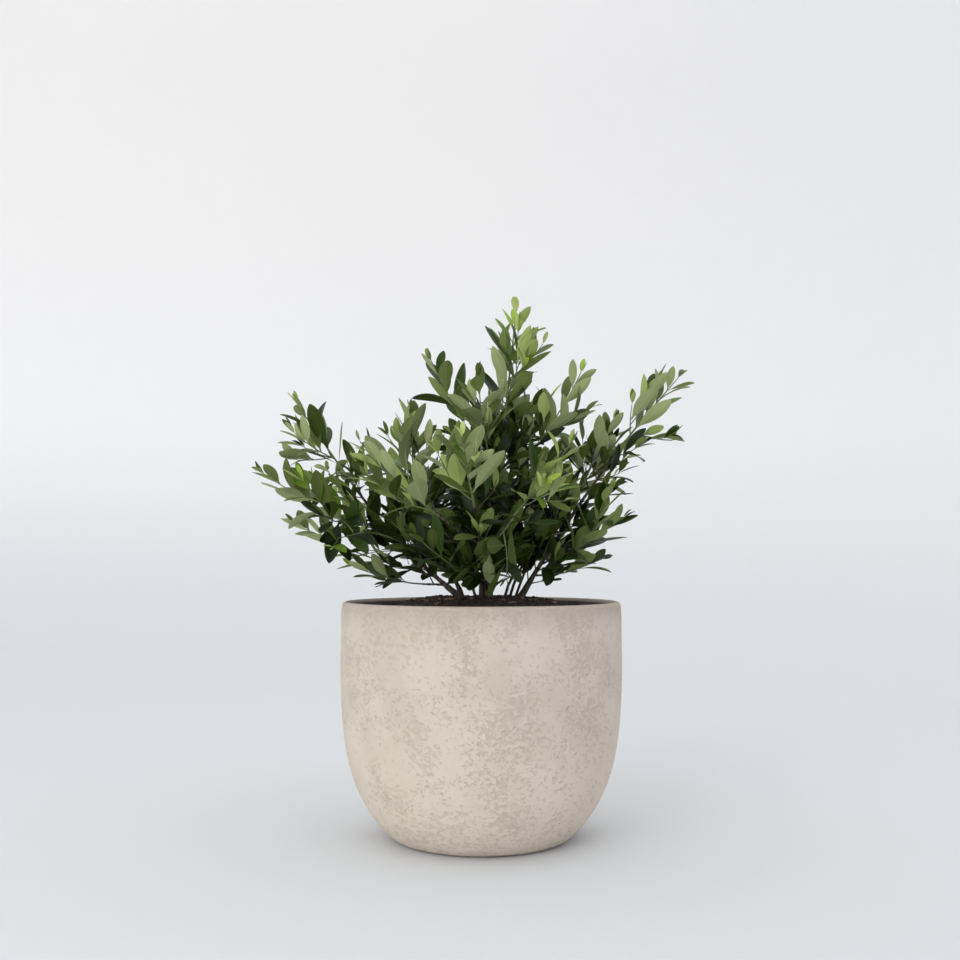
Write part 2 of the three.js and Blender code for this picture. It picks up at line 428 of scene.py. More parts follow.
def begin_edit() -> bpy.types.Object:
    """Opens the active object, the newest one, in edit mode and returns it."""
    bpy.ops.object.mode_set(mode="EDIT")
    bpy.ops.mesh.select_mode(type="VERT")
    return bpy.context.object


def choose(obj: bpy.types.Object, test: Callable[[Vector], bool]) -> None:
    """Selects, in edit mode, just the vertices that pass a test on their place."""
    bpy.ops.object.mode_set(mode="OBJECT")
    mesh = obj.data
    for kind in (mesh.edges, mesh.polygons):
        kind.foreach_set("select", [False] * len(kind))
    mesh.vertices.foreach_set("select", [test(v.co) for v in mesh.vertices])
    bpy.ops.object.mode_set(mode="EDIT")


@dataclass
class Pattern:
    """A small mesh as arrays, modelled once and copied many times."""

    points: np.ndarray
    faces: list[tuple[int, ...]]
    skins: list[int]

    @classmethod
    def taken_from(cls, obj: bpy.types.Object) -> "Pattern":
        """Reads a finished object and removes it."""
        nothing_selected()
        mesh = obj.data
        points = np.zeros(len(mesh.vertices) * 3)
        mesh.vertices.foreach_get("co", points)
        faces = [tuple(p.vertices) for p in mesh.polygons]
        skins = [p.material_index for p in mesh.polygons]
        bpy.data.objects.remove(obj)
        return cls(points.reshape(-1, 3), faces, skins)


@dataclass
class Heap:
    """Copies of patterns that are joined into one piece."""

    points: list[np.ndarray] = field(default_factory=list)
    faces: list[np.ndarray] = field(default_factory=list)
    sizes: list[int] = field(default_factory=list)
    skins: list[int] = field(default_factory=list)
    count: int = 0

    def add(self, pattern: Pattern, points: np.ndarray, skin: int = 0) -> None:
        """Adds one copy.

        Args:
            pattern: the mesh that is copied.
            points: where its vertices go.
            skin: the number of the copy's first material.
        """
        self.points.append(points)
        for face in pattern.faces:
            self.faces.append(np.array(face) + self.count)
            self.sizes.append(len(face))
        self.skins.extend(skin + s for s in pattern.skins)
        self.count += len(points)

    def build(self, name: str, materials: list[bpy.types.Material], angle: float) -> bpy.types.Object:
        """Makes the piece.

        Args:
            name: the piece's name.
            materials: its materials in order.
            angle: edges sharper than this, in degrees, stay sharp.

        Returns:
            The new object.
        """
        mesh = bpy.data.meshes.new(name)
        corners = np.concatenate(self.faces)
        sizes = np.array(self.sizes)
        mesh.vertices.add(self.count)
        mesh.vertices.foreach_set("co", np.concatenate(self.points).ravel())
        mesh.loops.add(len(corners))
        mesh.loops.foreach_set("vertex_index", corners)
        mesh.polygons.add(len(sizes))
        mesh.polygons.foreach_set("loop_start", np.concatenate(([0], np.cumsum(sizes)[:-1])))
        mesh.polygons.foreach_set("material_index", self.skins)
        for material in materials:
            mesh.materials.append(material)
        mesh.update(calc_edges=True)
        mesh.validate()
        obj = bpy.data.objects.new(name, mesh)
        bpy.context.scene.collection.objects.link(obj)
        smoothed(obj, angle)
        return obj


def smoothed(obj: bpy.types.Object, angle: float) -> None:
    """Shades an object smooth, but for edges sharper than an angle in degrees."""
    nothing_selected()
    obj.select_set(True)
    bpy.context.view_layer.objects.active = obj
    bpy.ops.object.shade_smooth_by_angle(angle=math.radians(angle))
    obj.select_set(False)


def finished(piece: bpy.types.Object, slot: str, *nodes: str) -> None:
    """Sets a piece on its body, hides the solids that it replaces and logs its number of faces.

    Args:
        piece: the finished object.
        slot: not used.
        nodes: the solids that it replaces.
    """
    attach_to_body(piece, BODY)
    if nodes:
        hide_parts(*nodes)
    log.info("%s: %d faces", piece.name, len(piece.data.polygons))


# ------------------------------------------------------------------ lines and solids of the frame


def unit(vector: np.ndarray) -> np.ndarray:
    """Returns a vector at length 1."""
    return vector / max(float(np.linalg.norm(vector)), 1e-12)


@dataclass
class Line:
    """A line through space, as points that are close together."""

    points: np.ndarray

    def __post_init__(self) -> None:
        """Works out the length up to each point."""
        steps = np.linalg.norm(np.diff(self.points, axis=0), axis=1)
        self.run = np.concatenate(([0.0], np.cumsum(steps)))
        self.length = float(self.run[-1])

    def at(self, share: float) -> np.ndarray:
        """Returns the point at a share of the length."""
        where = share * self.length
        return np.array([np.interp(where, self.run, self.points[:, k]) for k in range(3)])

    def ahead(self, share: float) -> np.ndarray:
        """Returns the direction at a share of the length."""
        return unit(self.at(min(share + 0.03, 1)) - self.at(max(share - 0.03, 0)))

    def aside(self, share: float, turn: float) -> np.ndarray:
        """Returns the direction that leaves the line square, at a turn about it in radians."""
        ahead = self.ahead(share)
        side = unit(np.cross(ahead, (0.2, 0.3, 1)))
        return side * math.cos(turn) + np.cross(ahead, side) * math.sin(turn)

    @classmethod
    def curve(cls, start: np.ndarray, leave: np.ndarray, end: np.ndarray, arrive: np.ndarray) -> "Line":
        """Draws a smooth curve.

        Args:
            start: the first point.
            leave: the direction in which it leaves that.
            end: the last point.
            arrive: the direction in which it comes there.
        """
        reach = np.linalg.norm(end - start) / 3
        second = start + unit(leave) * reach
        third = end - unit(arrive) * reach
        share = np.linspace(0, 1, 25)[:, None]
        rest = 1 - share
        return cls(rest ** 3 * start + 3 * rest ** 2 * share * second + 3 * rest * share ** 2 * third
                   + share ** 3 * end)


@dataclass
class Solid:
    """A solid of the frame, read for its line, its thickness and its inside."""

    node: str
    foot: np.ndarray

    def __post_init__(self) -> None:
        """Reads the mesh and works out its middle line and radii."""
        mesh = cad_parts[self.node].data
        points = np.zeros(len(mesh.vertices) * 3)
        mesh.vertices.foreach_get("co", points)
        self.points = points.reshape(-1, 3)
        mesh.calc_loop_triangles()
        self.corners = np.array([t.vertices[:] for t in mesh.loop_triangles])
        self.tree = BVHTree.FromPolygons(self.points.tolist(), self.corners.tolist())
        middle = self.points.mean(0)
        axis = np.linalg.svd(self.points - middle, full_matrices=False)[2][0]
        run = (self.points - middle) @ axis
        ends = [middle + axis * run.min(), middle + axis * run.max()]
        if np.linalg.norm(ends[0] - self.foot) > np.linalg.norm(ends[1] - self.foot):
            axis, run = -axis, -run
        shares = np.linspace(0.06, 0.94, 9)
        cuts = [self.cut(middle + axis * (run.min() + np.ptp(run) * s), axis) for s in shares]
        self.shares = shares
        self.radii = np.array([c[1] for c in cuts])
        fit = np.polyfit(shares, np.array([c[0] for c in cuts]), 2)
        fine = np.linspace(0, 1, 25)[:, None]
        self.line = Line(fit[0] * fine ** 2 + fit[1] * fine + fit[2])

    def cut(self, point: np.ndarray, normal: np.ndarray) -> tuple[np.ndarray, float]:
        """Cuts the solid by a plane.

        Args:
            point: a point of the plane.
            normal: the plane's normal.

        Returns:
            The middle of the cut and its mean radius.
        """
        triangles = self.points[self.corners]
        side = (triangles - point) @ normal
        found = []
        for a, b in ((0, 1), (1, 2), (2, 0)):
            crossing = side[:, a] * side[:, b] < 0
            share = (side[crossing, a] / (side[crossing, a] - side[crossing, b]))[:, None]
            found.append(triangles[crossing, a] * (1 - share) + triangles[crossing, b] * share)
        ring = np.concatenate(found)
        middle = (ring.min(0) + ring.max(0)) / 2
        return middle, float(np.linalg.norm(ring - middle, axis=1).mean())

    def radius(self, share: float) -> float:
        """Returns the mean radius at a share of the length."""
        return float(np.interp(share, self.shares, self.radii))

    def volume(self) -> float:
        """Returns the solid's volume."""
        a, b, c = (self.points[self.corners[:, k]] for k in range(3))
        return float(abs(np.einsum("ij,ij->i", a, np.cross(b, c)).sum()) / 6)

    def depth(self, point: np.ndarray) -> float:
        """Returns how deep a point lies inside the solid, below 0 when it is outside."""
        near, normal, _, distance = self.tree.find_nearest(Vector(point))
        outside = (Vector(point) - near).dot(normal) > 0
        return -distance if outside else distance


# ------------------------------------------------------------------ tubes: stems, boughs and twigs


@dataclass
class TubeMaker:
    """Round limbs: one straight tube is modelled, and each limb is a copy set along its line."""

    sides: int
    rings: int

    def __post_init__(self) -> None:
        """Models the tube, 1 in radius and 1 long, from a disc that is drawn up ring by ring."""
        nothing_selected()
        bpy.ops.mesh.primitive_circle_add(vertices=self.sides, radius=1, fill_type="NGON")
        obj = begin_edit()
        bpy.ops.mesh.select_all(action="SELECT")
        bpy.ops.mesh.flip_normals()
        for _ in range(self.rings):
            bpy.ops.mesh.extrude_region_move(TRANSFORM_OT_translate={"value": (0, 0, 1 / self.rings)})
        bpy.ops.mesh.select_all(action="SELECT")
        bpy.ops.mesh.normals_make_consistent(inside=False)
        bpy.ops.object.mode_set(mode="OBJECT")
        self.pattern = Pattern.taken_from(obj)

    def along(self, line: Line, radius: Callable[[float], float],
              relief: Callable[[np.ndarray, float, float], float] | None = None) -> np.ndarray:
        """Sets a copy of the tube along a line.

        Args:
            line: the middle of the limb.
            radius: its radius at a share of its length.
            relief: what is added to the radius at a point, a turn and a share.

        Returns:
            The copy's points.
        """
        side = unit(np.cross(line.ahead(0), (0.31, 0.95, 0.02)))
        frames = []
        for ring in range(self.rings + 1):
            share = ring / self.rings
            ahead = line.ahead(share)
            side = unit(side - ahead * (side @ ahead))
            frames.append((line.at(share), side, np.cross(ahead, side), radius(share)))
        placed = np.empty_like(self.pattern.points)
        for i, (x, y, z) in enumerate(self.pattern.points):
            middle, one, other, wide = frames[round(z * self.rings)]
            out = one * x + other * y
            if relief:
                wide += relief(middle + out * wide, math.atan2(y, x), z)
            placed[i] = middle + out * wide
        return placed


@dataclass
class Limb:
    """One stem or bough, as it runs in the frame."""

    node: str
    foot: np.ndarray
    slim: float = 0.68
    flare: float = 1.6 * MM
    flare_height: float = 9 * MM
    overlap: float = 5 * MM
    sunk: float = 1 * MM

    def __post_init__(self) -> None:
        """Reads the limb's solid, and lets a bough reach back into the wood that it springs from."""
        self.solid = Solid(self.node, self.foot)
        self.stem = self.node.startswith("stem_")
        line = self.solid.line
        back = line.at(0) - line.ahead(0) * (self.sunk if self.stem else self.overlap)
        self.line = Line(np.vstack([back, line.points]))
        self.end = line.at(1)
        self.heading = line.ahead(1)

    def radius(self, share: float) -> float:
        """Returns the limb's radius, flared at a stem's root."""
        wide = self.solid.radius(share) * self.slim
        if not self.stem:
            return wide
        return wide + self.flare * math.exp(-share * self.line.length / self.flare_height)


@dataclass
class Wood:
    """The stems and boughs, with the relief of their bark."""

    foot: np.ndarray
    ridge: float = 0.34 * MM
    knot: float = 0.5 * MM
    knot_gap: float = 21 * MM

    def __post_init__(self) -> None:
        """Finds the limbs of the frame."""
        names = sorted(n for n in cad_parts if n.startswith(("stem_", "bough_")))
        self.limbs = [Limb(n, self.foot) for n in names]
        self.tube = TubeMaker(sides=12, rings=46)

    def relief(self, limb: Limb) -> Callable[[np.ndarray, float, float], float]:
        """Gives the bark's relief on one limb: ridges along it and a ring at each old pair of leaves."""
        def height(point: np.ndarray, turn: float, share: float) -> float:
            """Returns the height of the bark at a point."""
            rough = noise.fractal(Vector(point * np.array((420, 420, 150))), 1.0, 2.0, 3)
            along = share * limb.line.length / self.knot_gap
            ring = math.exp(-((along - round(along)) / 0.09) ** 2) if along > 0.6 else 0
            return self.ridge * (rough + 0.5 * math.sin(5 * turn + 9 * share)) * (0.5 + 0.5 * limb.stem) \
                + self.knot * ring * (0.6 + 0.4 * math.cos(2 * turn + round(along) * 1.6))
        return height

    def build(self, bark: bpy.types.Material) -> None:
        """Makes one piece for each stem or bough."""
        for limb in self.limbs:
            heap = Heap()
            heap.add(self.tube.pattern, self.tube.along(limb.line, limb.radius, self.relief(limb)))
            piece = heap.build(limb.node.replace("_", ".", 1), [bark], 50)
            finished(piece, "bark", limb.node)


# ------------------------------------------------------------------ leaves


@dataclass(frozen=True)
class Leaf:
    """One leaf: where it springs from, how it lies and how old it is."""

    base: np.ndarray
    ahead: np.ndarray
    face: np.ndarray
    length: float
    width: float
    droop: float
    twist: float
    tone: Tone

    def middle(self) -> np.ndarray:
        """Returns the middle of the blade."""
        return self.base + self.ahead * self.length / 2


@dataclass
class LeafMaker:
    """Olive leaves, long and narrow: one flat leaf is modelled, and each leaf is a bent copy of it."""

    rows: int = 11
    crowding: float = 1.3
    stalk: float = 0.08
    stalk_width: float = 0.1
    widest: float = 0.56
    rib: float = 0.08
    fold: float = 0.19
    thin: float = 0.009

    def __post_init__(self) -> None:
        """Models the leaf, 1 long and 1 wide, from its stalk at the origin along +Y, upper face up."""
        nothing_selected()
        bpy.ops.mesh.primitive_grid_add(x_subdivisions=3, y_subdivisions=self.rows, size=1)
        obj = begin_edit()
        bpy.ops.transform.translate(value=(0, 0.5, 0))
        choose(obj, lambda co: abs(co.x) < 0.3)
        bpy.ops.transform.resize(value=(self.rib * 3, 1, 1), center_override=(0, 0, 0))
        choose(obj, lambda co: abs(co.x) > 0.3)
        bpy.ops.transform.translate(value=(0, 0, self.fold / 2))
        for row in range(self.rows, -1, -1):
            even = row / self.rows
            share = 1 - (1 - even) ** self.crowding
            choose(obj, lambda co: abs(co.y - even) < 0.005)
            wide = self.width(share)
            bpy.ops.transform.resize(value=(wide, 1, wide), center_override=(0, even, 0))
            bpy.ops.transform.translate(value=(0, share - even, 0))
        bpy.ops.mesh.select_all(action="SELECT")
        bpy.ops.mesh.duplicate()
        bpy.ops.mesh.flip_normals()
        bpy.ops.transform.translate(value=(0, 0, -1))
        choose(obj, lambda co: co.z < -0.5 and (abs(co.x) > self.rib * self.width(co.y)
                                                or not 0.01 < co.y < 0.99))
        bpy.ops.transform.translate(value=(0, 0, 1))
        choose(obj, lambda co: co.z < -0.5)
        bpy.ops.transform.translate(value=(0, 0, 1 - self.thin))
        bpy.ops.mesh.select_all(action="SELECT")
        bpy.ops.mesh.remove_doubles(threshold=0.0001)
        bpy.ops.object.mode_set(mode="OBJECT")
        for polygon in obj.data.polygons:
            middle = abs(polygon.center.x) < self.rib * self.width(polygon.center.y) / 2
            under = polygon.normal.z < 0
            polygon.material_index = int(under) + int(under and middle)
        self.pattern = Pattern.taken_from(obj)

    def width(self, share: float) -> float:
        """Returns the width at a share of the length, as a share of the greatest."""
        if share < self.stalk:
            return self.stalk_width
        below = (share - self.stalk) / (self.widest - self.stalk)
        if below < 1:
            return max(math.sin(math.pi / 2 * below) ** 0.85, self.stalk_width)
        above = (share - self.widest) / (1 - self.widest)
        return max((1 - above ** 2.1) ** 0.72, self.stalk_width / 2)

    def points(self, leaf: Leaf) -> np.ndarray:
        """Bends a copy of the pattern into one leaf."""
        x, y, z = self.pattern.points.T
        x, z = x * leaf.width, z * leaf.width
        turn = leaf.twist * y
        x, z = x * np.cos(turn) - z * np.sin(turn), x * np.sin(turn) + z * np.cos(turn)
        curl = leaf.droop if abs(leaf.droop) > 0.01 else 0.01
        run = np.sin(curl * y) / curl + z * np.sin(curl * y)
        rise = (np.cos(curl * y) - 1) / curl + z * np.cos(curl * y)
        face = unit(leaf.face - leaf.ahead * (leaf.face @ leaf.ahead))
        side = np.cross(leaf.ahead, face)
        shape = np.outer(x, side) + np.outer(run, leaf.ahead) + np.outer(rise, face)
        return leaf.base + shape * leaf.length


# ------------------------------------------------------------------ growth


class Region(Enum):
    """The part of the crown that a spray belongs to."""

    LEFT = "left"
    TOP = "top"
    RIGHT = "right"
    FRONT = "front"
    BACK = "back"

    @classmethod
    def of(cls, node: str) -> "Region":
        """Reads the region from a node's name."""
        words = {"crown": cls.TOP, "upper": cls.TOP, **{r.value: r for r in cls}, "middle": cls.TOP}
        return next(words[w] for w in node.split("_")[1:] if w in words)


@dataclass
class Shoot:
    """A leafy twig."""

    line: Line
    foot: float
    tip: float
    woody: bool = False

    def radius(self, share: float) -> float:
        """Returns the twig's radius at a share of its length."""
        return self.foot + (self.tip - self.foot) * share


@dataclass(frozen=True)
class Habit:
    """How a part of the crown grows.

    Args:
        room: the space that each leaf has, in cubic metres.
        leaf: the least and greatest length of a leaf.
        tones: how often each tone is dealt out.
        young_tips: how many shoots end in young leaves.
        gap: the distance from one pair of leaves to the next.
        tip_leaf: the size of the last leaves on a shoot, as a share of the first.
        bud: the least and greatest length of the leaves at the very tip, in mm.
        spread: the angle between leaf and shoot at its foot, in degrees.
        closing: how much smaller that is at the tip.
        slender: the least and greatest width of a leaf, as a share of its length.
        droop: how far leaves curl down, mean and scatter.
        twist: the scatter of their twist.
        rise: how far leaves turn up to the light.
        slack: how far leaves may reach out of the space.
        alike: how many leaves of a shoot keep its tone.
    """

    room: float
    leaf: Span
    tones: tuple[float, ...]
    young_tips: float
    gap: float = 19 * MM
    tip_leaf: float = 0.6
    bud: Span = (13, 24)
    spread: float = 60
    closing: float = 30
    slender: Span = (0.27, 0.4)
    droop: Span = (0.22, 0.28)
    twist: float = 0.25
    rise: float = 0.3
    slack: float = 10 * MM
    alike: float = 0.65


OUTER = Habit(room=12.5e-6, leaf=(43 * MM, 58 * MM), tones=(0.08, 0.22, 0.52, 0.18, 0.0), young_tips=0.25)
BRIGHT = Habit(room=12.5e-6, leaf=(43 * MM, 58 * MM), tones=(0.08, 0.22, 0.5, 0.18, 0.02), young_tips=0.6)
# LOW and HEART deal mostly the darkest tone: painted shade under the crown and in its heart
LOW = Habit(room=12.5e-6, leaf=(42 * MM, 57 * MM), tones=(0.58, 0.3, 0.12, 0.0, 0.0), young_tips=0.05,
            gap=17 * MM)
HEART = Habit(room=4.3e-6, leaf=(40 * MM, 55 * MM), tones=(0.74, 0.2, 0.06, 0.0, 0.0), young_tips=0.0,
              gap=15 * MM)

HABITS = {
    **dict.fromkeys(("crown_top", "upper_right", "left_middle", "left_high", "front_middle", "right_high",
                     "back_middle"), BRIGHT),
    **dict.fromkeys(("right_low", "right_foot", "front_low", "back_low", "front_low_right",
                     "back_low_right", "right_front", "left_front"), LOW),
}

# how many leaves a mass has, as a share of what its habit gives it
FULLNESS = {
    "crown_top": 1.3, "upper_right": 1.4, "upper_back": 1.3, "left_inner": 1.6, "left_high": 1.2,
    "left_shoulder": 0.6, "left_foot": 0.5, "left_low": 0.7, "right_high": 1.6, "right_shoulder": 1.8,
    "right_front": 0.7, "right_back": 0.6, "right_low": 0.7, "right_foot": 0.5,
}


# how far a leaf is turned in and how far it is shortened, try by try, until it keeps to its space
LEAF_FITS = ((1.0, 1.0), (0.7, 1.0), (0.8, 0.86), (0.55, 0.74))


@dataclass
class Growth:
    """Leafy shoots that keep to a space.

    Args:
        rng: the crown's one source of chance.
        habit: how the shoots and leaves grow.
        depth: gives how deep a point lies in the space, below 0 outside it.
        tries: how many places are looked at for each side shoot.
        forks: the stretch of a shoot on which side shoots spring.
        fork_angle: their least and greatest angle to it, in degrees.
        side_size: the size of their leaves, as a share of the habit's.
    """

    rng: random.Random
    habit: Habit
    depth: Callable[[np.ndarray], float]
    tries: int = 24
    forks: Span = (0.06, 0.8)
    fork_angle: Span = (30, 58)
    side_size: float = 0.92
    shoots: list[Shoot] = field(default_factory=list)
    leaves: list[Leaf] = field(default_factory=list)

    def dress(self, shoot: Shoot, full: float, bare: float = 0.0) -> None:
        """Sets leaves on a shoot in opposite pairs, each pair across the one before it.

        Args:
            shoot: the bare twig.
            full: the size of its leaves, as a share of the habit's.
            bare: the share of the twig, from its foot, that has none.
        """
        self.shoots.append(shoot)
        gap = self.habit.gap * (0.5 + 0.5 * full)
        pairs = max(round(shoot.line.length * (1 - bare) / gap), 2)
        roll = self.rng.uniform(0, math.pi)
        young = self.rng.random() < self.habit.young_tips
        tone = self.deal()
        for pair in range(1, pairs + 1):
            share = bare + (1 - bare) * pair / pairs
            grown = 1 - (1 - self.habit.tip_leaf) * max(share - 0.5, 0) / 0.5
            spread = math.radians(self.habit.spread - self.habit.closing * share + self.rng.uniform(-10, 10))
            for side in (0, math.pi):
                size = grown * self.rng.uniform(*self.habit.leaf) * full
                turn = roll + side + self.rng.uniform(-0.3, 0.3)
                last = young and share > 0.8
                kind = self.rng.choice((Tone.FRESH, Tone.YOUNG)) if last else self.vary(tone)
                self.leaf(shoot, share, turn, spread, size, kind)
            roll += math.pi / 2 + self.rng.uniform(-0.25, 0.25)
        self.bud(shoot, Tone.YOUNG if young else self.vary(tone))

    def deal(self) -> Tone:
        """Deals out the tone of one shoot's leaves."""
        return self.rng.choices(list(Tone), self.habit.tones)[0]

    def vary(self, tone: Tone) -> Tone:
        """Returns a tone, now and then another one of the habit."""
        return tone if self.rng.random() < self.habit.alike else self.deal()

    def bud(self, shoot: Shoot, tone: Tone) -> None:
        """Sets the two smallest leaves at the tip of a shoot, close together."""
        roll = self.rng.uniform(0, math.pi)
        for side in (0, math.pi):
            size = self.rng.uniform(*self.habit.bud) * MM
            self.leaf(shoot, 1, roll + side, math.radians(self.rng.uniform(6, 20)), size, tone)

    def leaf(self, shoot: Shoot, share: float, turn: float, spread: float, size: float, tone: Tone) -> None:
        """Sets one leaf, turned in or shortened until it keeps to the space, or left out.

        Args:
            shoot: the twig.
            share: where on it.
            turn: the side of the twig, in radians.
            spread: the angle to the twig, in radians.
            size: the leaf's full length.
            tone: its age.
        """
        ahead, out = shoot.line.ahead(share), shoot.line.aside(share, turn)
        base = shoot.line.at(share) + out * shoot.radius(share) * 0.6
        for closer, fit in LEAF_FITS:
            angle = spread * closer
            heading = ahead * math.cos(angle) + out * math.sin(angle)
            heading = unit(heading + np.array((0, 0, self.habit.rise)))
            if self.depth(base + heading * size * fit) > -self.habit.slack:
                break
        else:
            return
        face = ahead * 0.7 + np.array((0, 0, 0.8)) + np.array([self.rng.gauss(0, 0.3) for _ in range(3)])
        self.leaves.append(Leaf(base, heading, face, size * fit, self.rng.uniform(*self.habit.slender),
                                self.rng.gauss(*self.habit.droop), self.rng.gauss(0, self.habit.twist), tone))

    def branch(self, parents: list[Shoot], long: Span) -> None:
        """Grows one side shoot, where it keeps to the space and has most room.

        Args:
            parents: the shoots that it may spring from.
            long: its least and greatest length.
        """
        best, most = None, -1.0
        for _ in range(self.tries):
            parent = self.rng.choice(parents)
            share = self.rng.uniform(*self.forks)
            ahead = parent.line.ahead(share)
            out = unit(np.cross(ahead, [self.rng.gauss(0, 1) for _ in range(3)]))
            angle = math.radians(self.rng.uniform(*self.fork_angle))
            length = self.rng.uniform(*long) * (1.15 - 0.5 * share)
            start = parent.line.at(share)
            heading = ahead * math.cos(angle) + out * math.sin(angle)
            end = start + (heading * 0.85 + np.array((0, 0, 0.12)) + ahead * 0.12) * length
            depth = self.depth(end)
            if depth < 0:
                continue
            free = min((np.linalg.norm(end - leaf.middle()) for leaf in self.leaves), default=0.05)
            score = free + min(depth, 14 * MM) * 0.5
            if score > most:
                line = Line.curve(start, heading, end, heading + ahead * 0.5 + np.array((0, 0, 0.25)))
                best, most = Shoot(line, min(0.85 * MM, parent.radius(share)), 0.4 * MM), score
        if best:
            self.dress(best, self.side_size)


@dataclass
class Spray:
    """One mass of the frame, filled with leafy shoots that grow on from the nearest limb."""

    node: str
    limbs: list[Limb]
    rng: random.Random
    long: Span = (28 * MM, 62 * MM)
    most_shoots: int = 60
    leaders: int = 6
    forked: int = 3

    def __post_init__(self) -> None:
        """Finds the limb that the spray grows from and its habit."""
        self.name = self.node.removeprefix("leaves_")
        self.heart = self.name.startswith("heart")
        habit = HEART if self.heart else HABITS.get(self.name, OUTER)
        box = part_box(self.node)
        middle = np.array((box[0] + box[1]) / 2)
        near = min(self.limbs, key=lambda limb: np.linalg.norm(limb.end - middle))
        self.own = next((limb for limb in self.limbs if limb.node == "bough_" + self.name), near)
        self.solid = Solid(self.node, self.own.end)
        self.growth = Growth(self.rng, habit, self.solid.depth)

    def grow(self) -> None:
        """Grows the leading shoot and then side shoots, until the spray has its number of leaves."""
        wanted = self.solid.volume() / self.growth.habit.room * FULLNESS.get(self.name, 1)
        if self.heart:
            self.lead_hearts()
        else:
            line = self.solid.line
            line = Line.curve(self.own.end, self.own.heading, line.at(0.93), line.ahead(0.9))
            self.growth.dress(Shoot(line, self.own.radius(1), 0.5 * MM), 1)
        parents = self.leaders if self.heart else self.forked
        for _ in range(self.most_shoots):
            if len(self.growth.leaves) >= wanted:
                break
            self.growth.branch(self.growth.shoots[:parents], self.long)

    def lead_hearts(self) -> None:
        """Grows several shoots from the limbs that pass by, out into the heart of the crown."""
        for _ in range(self.leaders):
            target = self.inside()
            limb = min(self.limbs, key=lambda one: min(np.linalg.norm(one.line.points - target, axis=1)))
            near = int(np.argmin(np.linalg.norm(limb.line.points - target, axis=1)))
            near = max(near - 6, 1)
            start = limb.line.points[near]
            leave = unit(limb.line.points[near] - limb.line.points[near - 1])
            line = Line.curve(start, leave + unit(target - start) * 0.8, target, unit(target - start))
            if line.length > 20 * MM:
                self.growth.dress(Shoot(line, 1.0 * MM, 0.5 * MM), 1)

    def inside(self) -> np.ndarray:
        """Returns a point inside the mass, away from the tips of its shoots."""
        lows, highs = self.solid.points.min(0), self.solid.points.max(0)
        best, most = (lows + highs) / 2, -1.0
        for _ in range(24):
            point = np.array([self.rng.uniform(a, b) for a, b in zip(lows, highs)])
            if self.solid.depth(point) < 3 * MM:
                continue
            free = min((np.linalg.norm(point - s.line.at(1)) for s in self.growth.shoots), default=0.01)
            if free > most:
                best, most = point, free
        return best


